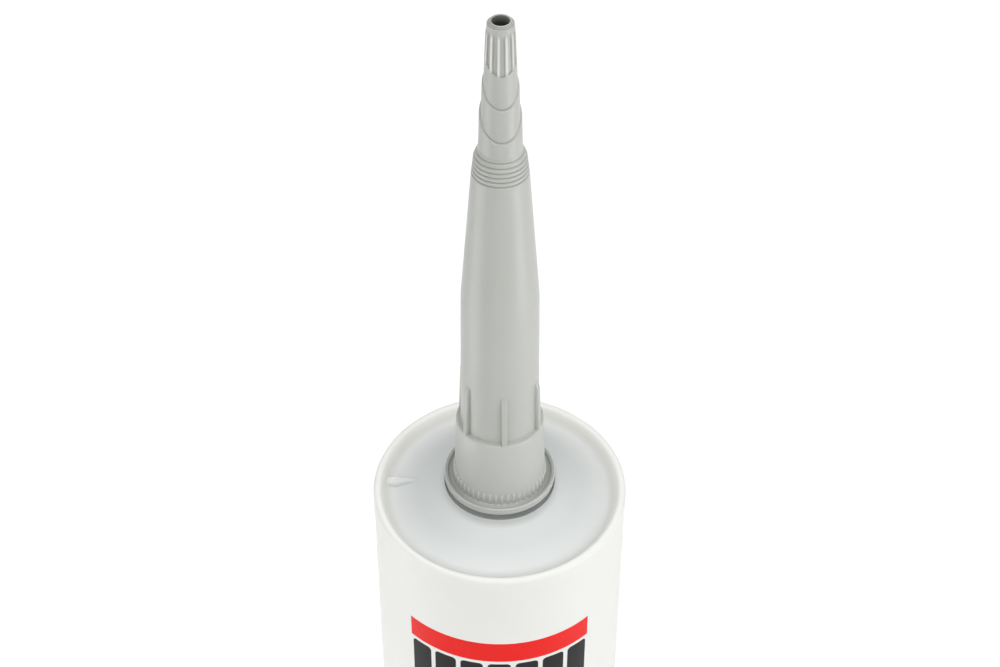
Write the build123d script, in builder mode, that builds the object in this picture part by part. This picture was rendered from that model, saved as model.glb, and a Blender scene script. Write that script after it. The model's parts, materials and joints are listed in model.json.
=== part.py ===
from build123d import *
import os
from math import cos, radians, sin, tan

os.makedirs("parts", exist_ok=True)

# A sealant cartridge stands on the open rear edge of its barrel, with its nozzle on top.
# The origin is the centre of that rear edge, +Z runs along the axis and -Y is the printed front.

# Barrel: one moulding with a raised rim, a coned front wall and a neck that stands in a round recess
barrel_length = 214.2
barrel_diameter = 50.0
barrel_wall = 1.6
rear_lead_in = 0.5
rim_band_height = 3.8
rim_band_step = 0.1
rim_band_blend = 2.5
rim_crest_width = 1.2
rim_crest_chamfer = 0.3
rim_slope_width = 2.0
rim_depth = 2.7
rim_foot_chamfer = 0.4
front_wall = 1.6
front_cone_angle = 24.0
recess_diameter = 21.6
recess_depth = 1.2
recess_edge_chamfer = 0.7
bore_corner_chamfer = 0.7

# Neck: it ends inside the nozzle's socket, which clears the crest of its thread
neck_length = 17.7
neck_bore_diameter = 10.2
neck_diameter = 13.5
neck_root_chamfer = 0.4
neck_mouth_chamfer = 0.4
thread_diameter = 15.0

# Locating fin in the corner between the rim and the front wall
fin_angle = 173.4
fin_width = 1.1
fin_height = 1.3
fin_inner_diameter = 32.0
fin_peak_diameter = 42.6

# Plunger: a cup with two wiping lips, a coned face and gussets behind it
plunger_recess = 8.0
plunger_length = 20.0
plunger_wall = 1.4
plunger_face_wall = 1.8
plunger_clearance = 0.08
plunger_relief = 0.7
lip_height = 2.4
lip_chamfer = 0.5
gusset_count = 4
gusset_thickness = 1.2
gusset_depth = 6.0
hub_diameter = 12.0
hub_wall = 1.3

# Sealant that fills the barrel from the plunger to the mouth of the neck
fill_clearance = 0.1
fill_mouth_gap = 0.6

# Nozzle: heights are measured up from the underside of its flange
nozzle_gap = 1.1
nozzle_length = 109.1
nozzle_turn = 6.5
thread_clearance = 0.15
socket_lead_in = 0.5

flange_diameter = 21.7
flange_height = 2.0
flange_dish_depth = 1.0
flange_edge_chamfer = 0.2

skirt_height = 16.6
skirt_foot_diameter = 17.9
skirt_top_diameter = 16.9
skirt_edge_chamfer = 0.3

tube_foot_diameter = 15.1
tube_kink_diameter = 14.46
tube_kink_height = 48.4

grip_rib_count = 6
grip_rib_width = 1.1
grip_rib_height = 28.8
grip_rib_top_length = 1.6

collar_foot_diameter = 10.24
collar_foot_drop = 3.7
collar_diameter = 9.4
collar_height = 80.9
shoulder_height = 2.0

# The guides lie at shares of the way from the collar to the tip
lower_sleeve_diameter = 7.76
lower_sleeve_taper_share = 0.027
middle_sleeve_diameter = 7.28
middle_sleeve_taper_share = 0.035
guide_angle = 45.0
lower_guide_share = 0.1755
middle_guide_share = 0.4046
upper_guide_share = 0.6206

# The tip tapers to where its end begins, then more to its edge, and slopes in to its mouth
tip_foot_diameter = 6.81
tip_end_diameter = 5.06
tip_end_drop = 2.6
tip_edge_diameter = 4.64
tip_edge_drop = 0.55
tip_mouth_diameter = 3.6

flute_count = 12
flute_width = 0.8
flute_depth = 0.3
flute_top_gap = 1.5

channel_diameter = 11.6
channel_collar_diameter = 6.0
tip_bore_diameter = 3.04
tip_bore_length = 8.0
tip_bore_chamfer = 0.12

# One overrun for every cutting tool, so that it passes clear through the surface it opens
overrun = 1.0

# Sizes that follow from those above
barrel_radius = barrel_diameter / 2
bore_radius = barrel_radius - barrel_wall
cone_rise_share = tan(radians(front_cone_angle))
rim_foot_radius = barrel_radius - rim_crest_width - rim_slope_width
rim_foot_height = barrel_length - rim_depth
recess_radius = recess_diameter / 2
recess_edge_height = rim_foot_height + (rim_foot_radius - recess_radius) * cone_rise_share
recess_floor_height = recess_edge_height - recess_depth
cone_wall_drop = front_wall / cos(radians(front_cone_angle))
bore_end_height = rim_foot_height - (bore_radius - rim_foot_radius) * cone_rise_share - cone_wall_drop
inner_crown_height = recess_floor_height - front_wall
inner_crown_radius = bore_radius - (inner_crown_height - bore_end_height) / cone_rise_share
neck_radius = neck_diameter / 2
neck_bore_radius = neck_bore_diameter / 2
neck_top = recess_floor_height + neck_length

nozzle_base = recess_edge_height + nozzle_gap
socket_radius = thread_diameter / 2 + thread_clearance
socket_depth = neck_top - nozzle_base
front_angle = nozzle_turn - 90
front_direction = Vector(cos(radians(front_angle)), sin(radians(front_angle)), 0)
up = Vector(0, 0, 1)


def corner_of(section, radius, height):
    """The corner of a section sketch nearest to a radius and a height."""
    return section.vertices().sort_by_distance((radius, height, 0))[0]


def straight_between(height, low, low_radius, high, high_radius):
    """The radius at a height on the straight line between two heights."""
    return low_radius + (high_radius - low_radius) * (height - low) / (high - low)


# Barrel wall, rim, front wall and neck are one turned outline
band_radius = barrel_radius + rim_band_step
band_foot = barrel_length - rim_band_height
crest_radius = barrel_radius - rim_crest_width

# The fin is a thin wedge that runs in from the slope of the rim and fades into the front wall
fin_inner_radius = fin_inner_diameter / 2
fin_peak_radius = fin_peak_diameter / 2
fin_foot_height = rim_foot_height + (rim_foot_radius - fin_inner_radius) * cone_rise_share
fin_plane = Plane(
    origin=(0, 0, 0),
    x_dir=(cos(radians(fin_angle)), sin(radians(fin_angle)), 0),
    z_dir=(sin(radians(fin_angle)), -cos(radians(fin_angle)), 0),
)

with BuildPart() as locating_fin:
    with BuildSketch(fin_plane):
        with BuildLine():
            Polyline(
                (fin_inner_radius, fin_foot_height),
                (fin_peak_radius, rim_foot_height + fin_height),
                (crest_radius, rim_foot_height + fin_height),
                (crest_radius, rim_foot_height - cone_wall_drop / 2),
                (rim_foot_radius, rim_foot_height - cone_wall_drop / 2),
                (fin_inner_radius, fin_foot_height - cone_wall_drop / 2),
                close=True,
            )
        make_face()
    extrude(amount=fin_width / 2, both=True)

with BuildPart() as barrel:
    with BuildSketch(Plane.XZ) as barrel_section:
        with BuildLine():
            Polyline(
                (bore_radius, 0),
                (barrel_radius, 0),
                (barrel_radius, band_foot - rim_band_blend),
                (band_radius, band_foot),
                (band_radius, barrel_length),
                (crest_radius, barrel_length),
                (rim_foot_radius, rim_foot_height),
                (recess_radius, recess_edge_height),
                (recess_radius, recess_floor_height),
                (neck_radius, recess_floor_height),
                (neck_radius, neck_top),
                (neck_bore_radius, neck_top),
                (neck_bore_radius, inner_crown_height),
                (inner_crown_radius, inner_crown_height),
                (bore_radius, bore_end_height),
                close=True,
            )
        make_face()
        chamfer(corner_of(barrel_section, band_radius, barrel_length), length=rim_crest_chamfer)
        chamfer(corner_of(barrel_section, crest_radius, barrel_length), length=rim_crest_chamfer)
        chamfer(corner_of(barrel_section, rim_foot_radius, rim_foot_height), length=rim_foot_chamfer)
        chamfer(corner_of(barrel_section, recess_radius, recess_edge_height), length=recess_edge_chamfer)
        chamfer(corner_of(barrel_section, neck_radius, recess_floor_height), length=neck_root_chamfer)
        chamfer(corner_of(barrel_section, bore_radius, bore_end_height), length=bore_corner_chamfer)
        chamfer(corner_of(barrel_section, bore_radius, 0), length=rear_lead_in)
        chamfer(corner_of(barrel_section, neck_radius, neck_top), length=neck_mouth_chamfer)
    revolve(axis=Axis.Z)
    add(locating_fin.part)

# Plunger: heights are measured up from its rear edge
lip_radius = bore_radius - plunger_clearance
body_radius = bore_radius - plunger_relief
cup_radius = body_radius - plunger_wall
plunger_front = plunger_recess + plunger_length
face_crown_height = plunger_front + (lip_radius - inner_crown_radius) * cone_rise_share
face_drop = plunger_face_wall / cos(radians(front_cone_angle))
cup_end_height = plunger_front + (lip_radius - cup_radius) * cone_rise_share - face_drop
cup_crown_height = face_crown_height - plunger_face_wall
cup_crown_radius = cup_radius - (cup_crown_height - cup_end_height) / cone_rise_share
rear_lip_top = plunger_recess + lip_height
front_lip_foot = plunger_front - lip_height
gusset_foot = cup_end_height - gusset_depth

with BuildPart() as plunger:
    with BuildSketch(Plane.XZ):
        with BuildLine():
            Polyline(
                (cup_radius, plunger_recess),
                (lip_radius, plunger_recess),
                (lip_radius, rear_lip_top - lip_chamfer),
                (body_radius, rear_lip_top),
                (body_radius, front_lip_foot),
                (lip_radius, front_lip_foot + lip_chamfer),
                (lip_radius, plunger_front),
                (inner_crown_radius, face_crown_height),
                (0, face_crown_height),
                (0, cup_crown_height),
                (cup_crown_radius, cup_crown_height),
                (cup_radius, cup_end_height),
                close=True,
            )
        make_face()
    revolve(axis=Axis.Z)
    with BuildSketch(Plane.XY.offset(gusset_foot)):
        with PolarLocations(0, gusset_count):
            Rectangle(cup_radius + plunger_wall / 2, gusset_thickness, align=(Align.MIN, Align.CENTER))
        Circle(hub_diameter / 2)
        Circle(hub_diameter / 2 - hub_wall, mode=Mode.SUBTRACT)
    extrude(until=Until.NEXT)

# Sealant: its ends follow the plunger's face and the inside of the front wall
fill_radius = bore_radius - fill_clearance
fill_foot = plunger_front + fill_clearance + (lip_radius - fill_radius) * cone_rise_share
fill_shoulder = bore_end_height - fill_clearance

with BuildPart() as sealant:
    with BuildSketch(Plane.XZ) as sealant_section:
        with BuildLine():
            Polyline(
                (0, face_crown_height + fill_clearance),
                (inner_crown_radius, face_crown_height + fill_clearance),
                (fill_radius, fill_foot),
                (fill_radius, fill_shoulder),
                (inner_crown_radius, inner_crown_height - fill_clearance),
                (neck_bore_radius - fill_clearance, inner_crown_height - fill_clearance),
                (neck_bore_radius - fill_clearance, neck_top - fill_mouth_gap),
                (0, neck_top - fill_mouth_gap),
                close=True,
            )
        make_face()
        chamfer(corner_of(sealant_section, fill_radius, fill_shoulder), length=bore_corner_chamfer)
    revolve(axis=Axis.Z)

# Nozzle radii, and the places that follow from them
flange_radius = flange_diameter / 2
skirt_foot_radius = skirt_foot_diameter / 2
skirt_top_radius = skirt_top_diameter / 2
tube_foot_radius = tube_foot_diameter / 2
tube_kink_radius = tube_kink_diameter / 2
collar_radius = collar_diameter / 2
lower_sleeve_radius = lower_sleeve_diameter / 2
middle_sleeve_radius = middle_sleeve_diameter / 2
tip_foot_radius = tip_foot_diameter / 2
tip_end_radius = tip_end_diameter / 2
tip_edge_radius = tip_edge_diameter / 2
tip_mouth_radius = tip_mouth_diameter / 2
tip_bore_radius = tip_bore_diameter / 2
collar_foot_radius = collar_foot_diameter / 2
collar_foot_height = collar_height - collar_foot_drop
shoulder_top = collar_height + shoulder_height
tip_end_height = nozzle_length - tip_end_drop
tip_edge_height = nozzle_length - tip_edge_drop
cutting_length = nozzle_length - collar_height
lower_guide_height = collar_height + lower_guide_share * cutting_length
middle_guide_height = collar_height + middle_guide_share * cutting_length
upper_guide_height = collar_height + upper_guide_share * cutting_length
flute_top_height = nozzle_length - flute_top_gap
flange_dish_height = flange_height - flange_dish_depth
channel_radius = channel_diameter / 2


def guide_plane(front_height, front_radius):
    """The slanted plane of a cutting guide, lowest at the front of the nozzle."""
    lean = radians(guide_angle)
    return Plane(
        origin=front_direction * front_radius + up * (nozzle_base + front_height),
        z_dir=front_direction * sin(lean) + up * cos(lean),
    )


def taper_core(foot_radius, foot_height, top_radius, top_height):
    """A round tapered core on the axis between two heights on the nozzle."""
    with BuildPart() as core:
        with BuildSketch(Plane.XZ):
            with BuildLine():
                Polyline(
                    (0, nozzle_base + foot_height),
                    (foot_radius, nozzle_base + foot_height),
                    (top_radius, nozzle_base + top_height),
                    (0, nozzle_base + top_height),
                    close=True,
                )
            make_face()
        revolve(axis=Axis.Z)
    return core.part


def stepped_sleeve(foot_radius, taper_share, front_height):
    """A tapered sleeve from the collar up to its slanted guide, where the nozzle steps down in size."""
    length = front_height - shoulder_top + 2 * foot_radius * tan(radians(guide_angle)) + overrun
    with BuildPart() as sleeve:
        add(taper_core(foot_radius, shoulder_top, foot_radius - taper_share * length, shoulder_top + length))
        split(bisect_by=guide_plane(front_height, foot_radius), keep=Keep.BOTTOM)
    return sleeve.part


# Flutes: straight channels that follow the taper of the tip and end at the upper guide
flute_floor_radius = tip_foot_radius - flute_depth
flute_foot = middle_guide_height
tip_line_end = straight_between(nozzle_length, shoulder_top, tip_foot_radius, tip_end_height, tip_end_radius)

with BuildPart() as flutes:
    with BuildSketch(Plane.XY.offset(nozzle_base + flute_foot)):
        with PolarLocations(0, flute_count, start_angle=front_angle):
            Rectangle(tip_foot_radius + overrun, flute_width, align=(Align.MIN, Align.CENTER))
    extrude(amount=flute_top_height - flute_foot)
    split(bisect_by=guide_plane(upper_guide_height, tip_foot_radius), keep=Keep.TOP)
    add(
        taper_core(flute_floor_radius, shoulder_top, tip_line_end - flute_depth, nozzle_length),
        mode=Mode.SUBTRACT,
    )

# A grip rib carries the taper of the skirt up beside the tube and ends in a sloped top
rib_top_radius = straight_between(grip_rib_height, 0, skirt_foot_radius, skirt_height, skirt_top_radius)
rib_tube_radius = straight_between(
    grip_rib_height, skirt_height, tube_foot_radius, tube_kink_height, tube_kink_radius
)
rib_root_radius = (tube_kink_radius + channel_radius) / 2

with BuildPart() as grip_rib:
    with BuildSketch(Plane.XZ):
        with BuildLine():
            Polyline(
                (rib_root_radius, nozzle_base + skirt_height - skirt_edge_chamfer),
                (skirt_top_radius, nozzle_base + skirt_height - skirt_edge_chamfer),
                (rib_top_radius, nozzle_base + grip_rib_height - grip_rib_top_length),
                (rib_tube_radius, nozzle_base + grip_rib_height),
                (rib_root_radius, nozzle_base + grip_rib_height),
                close=True,
            )
        make_face()
    extrude(amount=grip_rib_width / 2, both=True)

with BuildPart() as nozzle:
    with BuildSketch(Plane.XZ) as nozzle_section:
        with BuildLine():
            Polyline(
                (0, nozzle_base),
                (flange_radius, nozzle_base),
                (flange_radius, nozzle_base + flange_height),
                (skirt_foot_radius, nozzle_base + flange_dish_height),
                (skirt_top_radius, nozzle_base + skirt_height),
                (tube_foot_radius, nozzle_base + skirt_height),
                (tube_kink_radius, nozzle_base + tube_kink_height),
                (collar_foot_radius, nozzle_base + collar_foot_height),
                (collar_radius, nozzle_base + collar_height),
                (lower_sleeve_radius, nozzle_base + shoulder_top),
                (0, nozzle_base + shoulder_top),
                close=True,
            )
        make_face()
        for flange_side in (nozzle_base, nozzle_base + flange_height):
            chamfer(
                corner_of(nozzle_section, flange_radius, flange_side),
                length=flange_edge_chamfer,
            )
        chamfer(
            corner_of(nozzle_section, skirt_top_radius, nozzle_base + skirt_height),
            length=skirt_edge_chamfer,
        )
    revolve(axis=Axis.Z)

    # Three nested tapers, each stepping down to the next at a slanted guide
    add(stepped_sleeve(lower_sleeve_radius, lower_sleeve_taper_share, lower_guide_height))
    add(stepped_sleeve(middle_sleeve_radius, middle_sleeve_taper_share, middle_guide_height))
    add(taper_core(tip_foot_radius, shoulder_top, tip_end_radius, tip_end_height))
    add(taper_core(tip_end_radius, tip_end_height, tip_edge_radius, tip_edge_height))
    add(taper_core(tip_edge_radius, tip_edge_height, tip_mouth_radius, nozzle_length))

    add(flutes.part, mode=Mode.SUBTRACT)

    with PolarLocations(0, grip_rib_count, start_angle=front_angle):
        add(grip_rib.part)

    # The inside runs from the socket for the neck, up a tapering channel, to the bore of the tip
    with BuildSketch(Plane.XZ) as channel_section:
        with BuildLine():
            Polyline(
                (0, nozzle_base - overrun),
                (socket_radius + socket_lead_in, nozzle_base - overrun),
                (socket_radius + socket_lead_in, nozzle_base),
                (socket_radius, nozzle_base + socket_lead_in),
                (socket_radius, nozzle_base + socket_depth),
                (channel_radius, nozzle_base + socket_depth),
                (channel_radius, nozzle_base + tube_kink_height),
                (channel_collar_diameter / 2, nozzle_base + collar_height),
                (tip_bore_radius, nozzle_base + nozzle_length - tip_bore_length),
                (tip_bore_radius, nozzle_base + nozzle_length - tip_bore_chamfer),
                (tip_bore_radius + tip_bore_chamfer, nozzle_base + nozzle_length),
                (tip_bore_radius + tip_bore_chamfer, nozzle_base + nozzle_length + overrun),
                (0, nozzle_base + nozzle_length + overrun),
                close=True,
            )
        make_face()
    revolve(axis=Axis.Z, mode=Mode.SUBTRACT)

barrel.part.label = "barrel"
export_step(barrel.part, "parts/barrel.step")

plunger.part.label = "plunger"
export_step(plunger.part, "parts/plunger.step")

sealant.part.label = "sealant"
export_step(sealant.part, "parts/sealant.step")

nozzle.part.label = "nozzle"
export_step(nozzle.part, "parts/nozzle.step")
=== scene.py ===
import json
from math import cos, pi, radians, tan

import bmesh
import bpy
import numpy as np
from mathutils import Matrix, Vector


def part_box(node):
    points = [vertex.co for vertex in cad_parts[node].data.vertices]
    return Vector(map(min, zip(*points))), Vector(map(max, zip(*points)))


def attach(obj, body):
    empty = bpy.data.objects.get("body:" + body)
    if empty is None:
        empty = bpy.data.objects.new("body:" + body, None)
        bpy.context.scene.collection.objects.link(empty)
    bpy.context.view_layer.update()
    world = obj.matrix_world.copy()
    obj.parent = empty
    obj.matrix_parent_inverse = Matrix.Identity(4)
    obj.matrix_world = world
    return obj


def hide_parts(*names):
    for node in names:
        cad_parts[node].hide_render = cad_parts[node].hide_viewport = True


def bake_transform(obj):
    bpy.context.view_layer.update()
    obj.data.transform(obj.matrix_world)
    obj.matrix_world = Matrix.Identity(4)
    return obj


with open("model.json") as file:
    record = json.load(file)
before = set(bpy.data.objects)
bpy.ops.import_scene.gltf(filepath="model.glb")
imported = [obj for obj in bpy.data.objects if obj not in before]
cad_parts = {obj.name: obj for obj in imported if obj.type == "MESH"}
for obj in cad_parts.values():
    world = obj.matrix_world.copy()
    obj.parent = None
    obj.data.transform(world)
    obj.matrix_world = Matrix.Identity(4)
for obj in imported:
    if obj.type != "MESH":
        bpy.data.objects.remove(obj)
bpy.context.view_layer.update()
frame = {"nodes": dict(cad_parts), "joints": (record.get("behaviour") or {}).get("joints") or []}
mm = 0.001

# Heights that the pieces share, read from the frame
barrel_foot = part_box("barrel")[0].z
neck_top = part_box("barrel")[1].z
nozzle_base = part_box("nozzle")[0].z
nozzle_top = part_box("nozzle")[1].z
fill_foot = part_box("sealant")[0].z
fill_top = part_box("sealant")[1].z
plunger_travel = next(j["range_m"][1] for j in frame["joints"] if j["name"] == "plunger_slide")

# Barrel
barrel_radius = 25.0 * mm
bore_radius = 23.4 * mm
barrel_top = 214.2 * mm
rear_lead_in = 0.5 * mm
rear_edge_rounding = 0.25 * mm
rim_band_radius = 25.1 * mm
rim_band_foot = 210.4 * mm
rim_band_blend = 2.5 * mm
rim_crest_radius = 23.8 * mm
rim_crest_rounding = 0.8 * mm
rim_foot_radius = 21.8 * mm
rim_foot_height = 211.5 * mm
rim_foot_rounding = 2.0 * mm
front_cone_angle = radians(24.0)
front_wall = 1.6 * mm
recess_radius = 10.8 * mm
recess_depth = 1.2 * mm
recess_edge_rounding = 0.18 * mm
recess_floor_rounding = 0.25 * mm
inner_crown_rounding = 3.0 * mm
neck_radius = 6.75 * mm
neck_root_rounding = 0.6 * mm
neck_mouth_rounding = 0.4 * mm
neck_bore_radius = 5.1 * mm
bore_corner_rounding = 1.2 * mm
barrel_segments = 256

cone_rise = tan(front_cone_angle)
recess_edge_height = rim_foot_height + (rim_foot_radius - recess_radius) * cone_rise
recess_floor_height = recess_edge_height - recess_depth
inner_crown_height = recess_floor_height - front_wall
bore_end_height = (
    rim_foot_height
    - (bore_radius - rim_foot_radius) * cone_rise
    - front_wall / cos(front_cone_angle)
)
inner_crown_radius = bore_radius - (inner_crown_height - bore_end_height) / cone_rise

# Locating fin
fin_angle = radians(173.4)
fin_width = 1.3 * mm
fin_foot_width = 2.0 * mm
fin_tip_width = 0.7 * mm
fin_height = 1.3 * mm
fin_inner_radius = 16.0 * mm
fin_peak_radius = 21.3 * mm
fin_sink = 0.8 * mm
fin_rounding = 0.34 * mm

# Thread on the neck
thread_radius = 7.5 * mm
thread_pitch = 3.0 * mm
thread_turns = 3.0
thread_start = 4.7 * mm
thread_crest_width = 0.7 * mm
thread_base_width = 1.7 * mm
thread_sink = 0.3 * mm
thread_steps = 220
thread_fade_turns = 0.12
thread_end_scale = 0.02

# Nozzle: heights are measured up from the underside of its flange. The sections of a groove and of a flute
# are pairs of a share of its width or length and a share of its depth
nozzle_turn = radians(6.5)
socket_radius = 7.65 * mm
socket_lead_in = 0.5 * mm
flange_radius = 10.85 * mm
flange_height = 1.55 * mm
flange_rounding = 0.4 * mm
flange_foot_rounding = 0.2 * mm
flange_lip = 0.55 * mm
flange_lip_slope = 0.275 * mm
flange_dish_height = 0.95 * mm
dish_rounding = 0.4 * mm
skirt_foot_radius = 8.95 * mm
skirt_top_radius = 8.45 * mm
skirt_height = 16.6 * mm
skirt_rounding = 0.45 * mm
tube_foot_radius = 7.55 * mm
tube_root_rounding = 0.25 * mm
tube_kink_radius = 7.23 * mm
tube_kink_height = 48.4 * mm
tube_kink_rounding = 25.0 * mm
collar_foot_radius = 5.12 * mm
collar_foot_height = 77.2 * mm
collar_radius = 4.7 * mm
collar_height = 80.9 * mm
shoulder_height = 2.0 * mm
groove_count = 6
groove_pitch = 0.9 * mm
groove_width = 0.46 * mm
groove_depth = 0.34 * mm
groove_section = ((-0.62, 0), (-0.5, 0.06), (-0.16, 0.94), (0.16, 0.94), (0.5, 0.06), (0.62, 0))
lowest_groove_height = 77.6 * mm
lower_sleeve_radius = 3.88 * mm
lower_sleeve_taper = 0.027
middle_sleeve_radius = 3.64 * mm
middle_sleeve_taper = 0.035
tip_foot_radius = 3.405 * mm
tip_end_radius = 2.53 * mm
tip_end_drop = 2.6 * mm
tip_edge_radius = 2.32 * mm
tip_edge_drop = 0.55 * mm
tip_edge_rounding = 0.2 * mm
tip_bevel_radius = 1.8 * mm
tip_bevel_drop = 0.05 * mm
tip_ring_shares = (0.28, 0.7)
tip_ring_depth = 0.1 * mm
guide_lean = radians(45.0)
guide_shares = (0.1755, 0.4046, 0.6206)
guide_lip = 0.06 * mm
guide_cut_depth = 0.16 * mm
guide_cut_width = 0.34 * mm
guide_run_up = 0.35 * mm
flute_count = 12
flute_turn = radians(8.0)
flute_half_angle = radians(7.6)
flute_wall_angle = radians(1.25)
flute_depth = 0.3 * mm
flute_foot_gap = 0.4 * mm
flute_top_gap = 1.5 * mm
flute_end_step = 0.05 * mm
flute_section = ((0, 1), (0.1, 1), (0.5, 1), (0.84, 1), (0.92, 0.75), (1, 0.1))
tip_bore_radius = 1.52 * mm
tip_bore_length = 8.0 * mm
tip_bore_chamfer = 0.12 * mm
channel_radius = 5.8 * mm
channel_collar_radius = 3.0 * mm
channel_rounding = 2.4 * mm
nozzle_columns = 288

nozzle_length = nozzle_top - nozzle_base
nozzle_front = nozzle_turn - pi / 2
flange_channel_radius = flange_radius - flange_lip - flange_lip_slope
# Outer edge of the painted shade in the flange's channel
channel_shade_edge_radius = flange_radius - 1.2 * flange_lip
guide_heights = [collar_height + share * (nozzle_length - collar_height) for share in guide_shares]
shoulder_top = collar_height + shoulder_height
tip_end_height = nozzle_length - tip_end_drop
tip_edge_height = nozzle_length - tip_edge_drop
flute_top_height = nozzle_length - flute_top_gap

# Grip ribs and knurl of the nozzle
grip_rib_count = 6
grip_rib_width = 1.1 * mm
grip_rib_height = 28.8 * mm
grip_rib_top_length = 1.6 * mm
grip_rib_rounding = 0.22 * mm
knurl_count = 48
knurl_height = 3.6 * mm
knurl_width = 0.62 * mm
knurl_crest_share = 1 / 6
knurl_projection = 0.24 * mm
knurl_top_slope = 0.25 * mm

# Sealant
fill_clearance = 0.1 * mm
fill_segments = 160
slug_least_length = 0.2 * mm
slug_gap = 0.05 * mm

# Print on the front of the barrel
print_half_angle = radians(44.7)
band_foot_height = 189.8 * mm
band_top_height = 195.4 * mm
block_count = 7
block_gap_share = 0.17
block_foot_height = 178.6 * mm
block_top_height = 189.0 * mm
block_rounding = 0.9 * mm
band_rounding = 0.05 * mm
ink_edge = 0.06 * mm
ink_fibre_size = 0.35 * mm
ink_mottle_size = 0.5 * mm
ink_thickness = 0.012 * mm
ink_smoothing = 0.06

# Tints of the barrel: the painted shadow round the recess sits a little to the front, and a painted highlight
# grows in towards the rim
recess_shadow_shift = (0.0, 0.8 * mm, 0.0)
recess_shadow_width = 1.1 * mm
rim_highlight_width = 5.5 * mm
streak_size = 16 * mm

# Surface of every moulded plastic: clouds, lines of flow along the axis, a slow swell and patches of gloss
moulding_cloud_size = 28 * mm
flow_line_size = 2.2 * mm
flow_line_stretch = 0.05
flow_line_depth = 0.012 * mm
swell_size = 9 * mm
swell_depth = 0.05 * mm
gloss_patch_size = 6 * mm
gloss_patch_fall = 0.035
gloss_patch_rise = 0.045

# Roundings: each corner of an outline becomes an arc, which takes up no more than its share of the runs
# beside it
arc_steps = 6
arc_run_share = 0.48
support_share = 0.35
support_run_share = 0.2
wedge_bevel_steps = 3
merge_distance = 0.002 * mm
sharp_angle = radians(38.0)

# Floor and light
floor_half = 4.0
sky_base = 0.38
sky_peak = 1.95
sky_focus = 3.0
sky_brightest = Vector((0.05, -0.33, 0.936)).normalized()

# The camera stands where the photograph was taken from, worked out from the barrel's diameter
camera_place = (0.0, -293.1 * mm, 535.3 * mm)
camera_dip = radians(43.63)
camera_roll = radians(0.12)
camera_sensor_width = 36.0
camera_lens = 78.55


class Wiring:
    """Short calls for adding the nodes of one tree and joining their sockets."""

    def __init__(self, tree):
        self.tree = tree

    def add(self, kind, inputs=None, **settings):
        node = self.tree.nodes.new(kind)
        for name, value in settings.items():
            setattr(node, name, value)
        for key, value in (inputs or {}).items():
            self.feed(node.inputs[key], value)
        return node

    def feed(self, socket, value):
        if isinstance(value, bpy.types.NodeSocket):
            self.tree.links.new(value, socket)
        else:
            socket.default_value = value

    def out(self, kind, inputs=None, **settings):
        return self.add(kind, inputs, **settings).outputs[0]

    def math(self, operation, *values):
        return self.out("ShaderNodeMath", dict(enumerate(values)), operation=operation)

    def plus(self, first, second):
        return self.math("ADD", first, second)

    def minus(self, first, second):
        return self.math("SUBTRACT", first, second)

    def product(self, first, *others):
        for other in others:
            first = self.math("MULTIPLY", first, other)
        return first

    def hypotenuse(self, x, y):
        squares = self.plus(self.math("POWER", x, 2.0), self.math("POWER", y, 2.0))
        return self.math("SQRT", squares)

    def xyz(self, vector):
        return self.add("ShaderNodeSeparateXYZ", {0: vector}).outputs

    def on_circle(self, radius, angle, height):
        x = self.product(radius, self.math("COSINE", angle))
        y = self.product(radius, self.math("SINE", angle))
        return self.out("ShaderNodeCombineXYZ", {"X": x, "Y": y, "Z": height})


# Outlines are lists of (radius, height)


def rounded(corners):
    """An outline with an arc in place of each corner (radius, height, rounding) that has a rounding.

    A point on each straight run beside an arc keeps the run's own shading flat.
    """
    count = len(corners)
    points = []
    for i, (radius, height, rounding) in enumerate(corners):
        here = np.array((radius, height))
        if rounding == 0 or i in (0, count - 1):
            points.append(tuple(here))
            continue
        back = np.array(corners[i - 1][:2]) - here
        ahead = np.array(corners[i + 1][:2]) - here
        back_run, ahead_run = np.linalg.norm(back), np.linalg.norm(ahead)
        back, ahead = back / back_run, ahead / ahead_run
        half = np.arccos(np.clip(back @ ahead, -1, 1)) / 2
        reach = min(rounding / np.tan(half), arc_run_share * min(back_run, ahead_run))
        arc_radius = reach * np.tan(half)
        middle = back + ahead
        centre = here + middle / np.linalg.norm(middle) * np.hypot(reach, arc_radius)
        start, end = here + back * reach - centre, here + ahead * reach - centre
        support = support_share * min(reach, support_run_share * min(back_run, ahead_run))
        points.append(tuple(here + back * (reach + support)))
        for step in range(arc_steps + 1):
            share = step / arc_steps
            turn = np.pi - 2 * half
            weight_end = np.sin(share * turn) / np.sin(turn)
            weight_start = np.sin((1 - share) * turn) / np.sin(turn)
            points.append(tuple(centre + start * weight_start + end * weight_end))
        points.append(tuple(here + ahead * (reach + support)))
    return points


def outline_mesh(name, points):
    """The points of an outline as a mesh of loose edges, with radius on X and height on Z."""
    mesh = bpy.data.meshes.new(name)
    edges = [(i, i + 1) for i in range(len(points) - 1)]
    mesh.from_pydata([(radius, 0, height) for radius, height in points], edges, [])
    return mesh


# Geometry trees


def new_geometry_tree(name, sizes):
    """A geometry tree whose inputs are a shape, the named sizes, a sharp angle and a finish."""
    tree = bpy.data.node_groups.new(name, "GeometryNodeTree")
    inputs = {"Shape": "Geometry", **sizes, "Sharp angle": "Float", "Finish": "Material"}
    for label, kind in inputs.items():
        tree.interface.new_socket(label, in_out="INPUT", socket_type="NodeSocket" + kind)
    tree.interface.new_socket("Shape", in_out="OUTPUT", socket_type="NodeSocketGeometry")
    wiring = Wiring(tree)
    return tree, wiring, wiring.add("NodeGroupInput").outputs


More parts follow.
